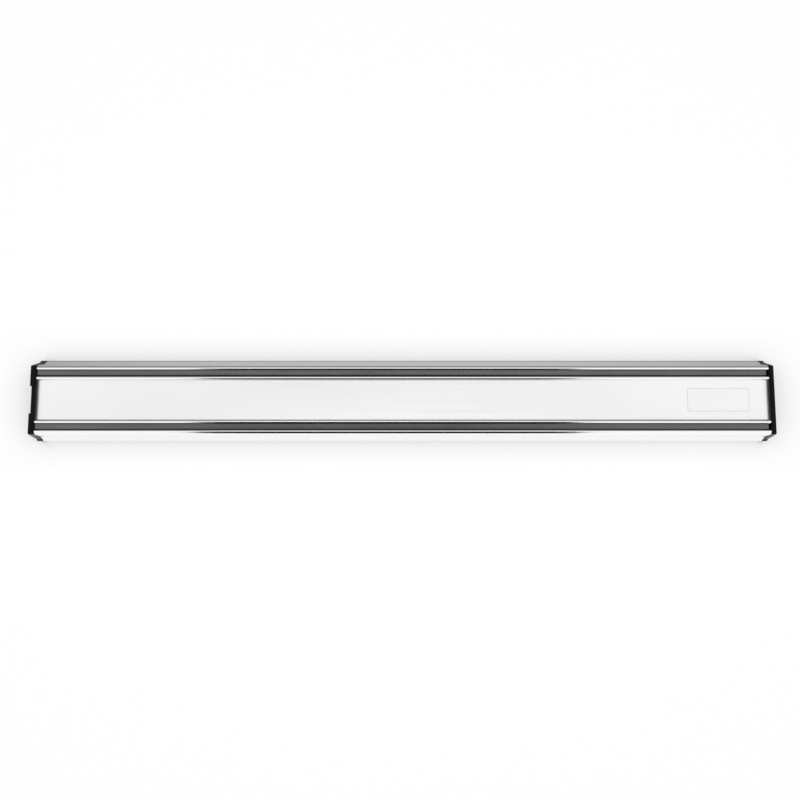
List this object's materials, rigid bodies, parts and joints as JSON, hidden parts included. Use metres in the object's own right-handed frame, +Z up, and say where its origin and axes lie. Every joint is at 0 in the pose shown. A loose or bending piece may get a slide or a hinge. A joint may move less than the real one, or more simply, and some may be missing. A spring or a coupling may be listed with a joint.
{
  "type": "magnetic knife rack",
  "caption": "Wall-mounted magnetic knife rack: a flared aluminium bar with dark steel pole rails either side of a recessed beaded panel, and black end caps.",
  "frame": {"origin": "midway between the two wall screws, on the wall plane, which is the plane of the rack's back", "axes": "+X to the right along the rack, +Y into the wall, +Z up; knives hang on the -Y side"},
  "size_m": [0.45, 0.016, 0.05],
  "materials": {
    "anodised_aluminium": "satin",
    "pole_steel": "satin",
    "ferrite": "matte",
    "black_plastic": "satin",
    "zinc_plated_steel": "satin",
    "foam": "matte",
    "label_foil": "satin"
  },
  "bodies": {
    "root": {"profile_body": "anodised_aluminium", "front_panel": "anodised_aluminium", "upper_pole_rail": "pole_steel", "lower_pole_rail": "pole_steel", "magnet_01": "ferrite", "magnet_02": "ferrite", "magnet_03": "ferrite", "magnet_04": "ferrite", "magnet_05": "ferrite", "magnet_06": "ferrite", "magnet_07": "ferrite", "magnet_08": "ferrite", "magnet_09": "ferrite", "magnet_10": "ferrite", "magnet_11": "ferrite", "magnet_12": "ferrite", "magnet_13": "ferrite", "magnet_14": "ferrite", "foam_tape": "foam", "left_end_cap": "black_plastic", "right_end_cap": "black_plastic", "left_wall_bracket": "zinc_plated_steel", "right_wall_bracket": "zinc_plated_steel", "label_plate": "label_foil"}
  },
  "joints": []
}
